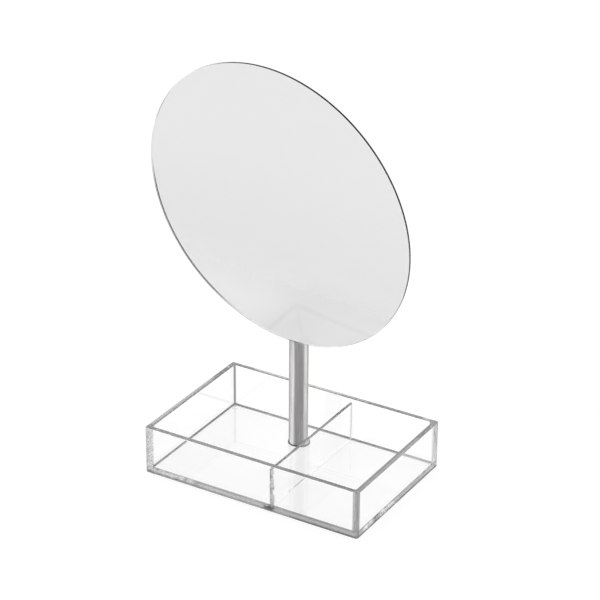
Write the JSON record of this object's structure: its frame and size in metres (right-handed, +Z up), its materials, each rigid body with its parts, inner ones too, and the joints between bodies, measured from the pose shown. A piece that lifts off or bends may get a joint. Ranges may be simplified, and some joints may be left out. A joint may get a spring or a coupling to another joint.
{
  "type": "vanity mirror with organiser tray",
  "caption": "Round frameless mirror that tilts and swivels on a brushed steel post, which stands in a clear acrylic organiser tray with a fixed divider.",
  "frame": {"origin": "bottom centre of the whole object's box, on the surface it stands on: the middle of the mirror's width and of the tray's depth", "axes": "+Z up, -Y the side that the mirror faces, +X to the right seen from the front"},
  "size_m": [0.2944, 0.1574, 0.4184],
  "materials": {
    "clear_acrylic": "clear, polished",
    "clear_bumper": "clear soft polyurethane",
    "dark_nylon": "satin",
    "brushed_steel": "brushed along its length",
    "plated_steel": "bright zinc plate",
    "satin_metal": "satin",
    "moulded_plate": "fine moulded texture",
    "foam_tape": "closed-cell foam",
    "silvering": "mirror",
    "float_glass": "clear, polished edge"
  },
  "bodies": {
    "stand": {"tray_shell": "clear_acrylic", "tray_divider": "clear_acrylic", "bumper_feet": "clear_bumper", "post_gasket": "dark_nylon", "post_tube": "brushed_steel", "tube_plug": "plated_steel", "base_washer": "plated_steel", "base_screw": "plated_steel", "head_bush": "dark_nylon", "thrust_washer": "dark_nylon"},
    "swivel_head": {"swivel_yoke": "satin_metal", "spindle_spring": "plated_steel", "spindle_washer": "plated_steel", "spindle_nut": "plated_steel", "tilt_bolt": "plated_steel", "friction_washers": "dark_nylon", "tilt_spring": "plated_steel", "tilt_nut": "plated_steel"},
    "mirror_head": {"mirror_bracket": "satin_metal", "bracket_screws": "plated_steel", "back_plate": "moulded_plate", "adhesive_pad": "foam_tape", "mirror_silvering": "silvering", "mirror_glass": "float_glass"}
  },
  "joints": [
    {"name": "swivel", "type": "hinge", "parent": "stand", "child": "swivel_head", "pos_m": [0.00329, 0.041, 0.27765], "axis": [0, 0, 1], "continuous": true},
    {"name": "tilt", "type": "hinge", "parent": "swivel_head", "child": "mirror_head", "pos_m": [0.00329, 0.041, 0.27765], "axis": [-0.9959, 0.0906, 0], "range_deg": [-1.2, 95]}
  ]
}
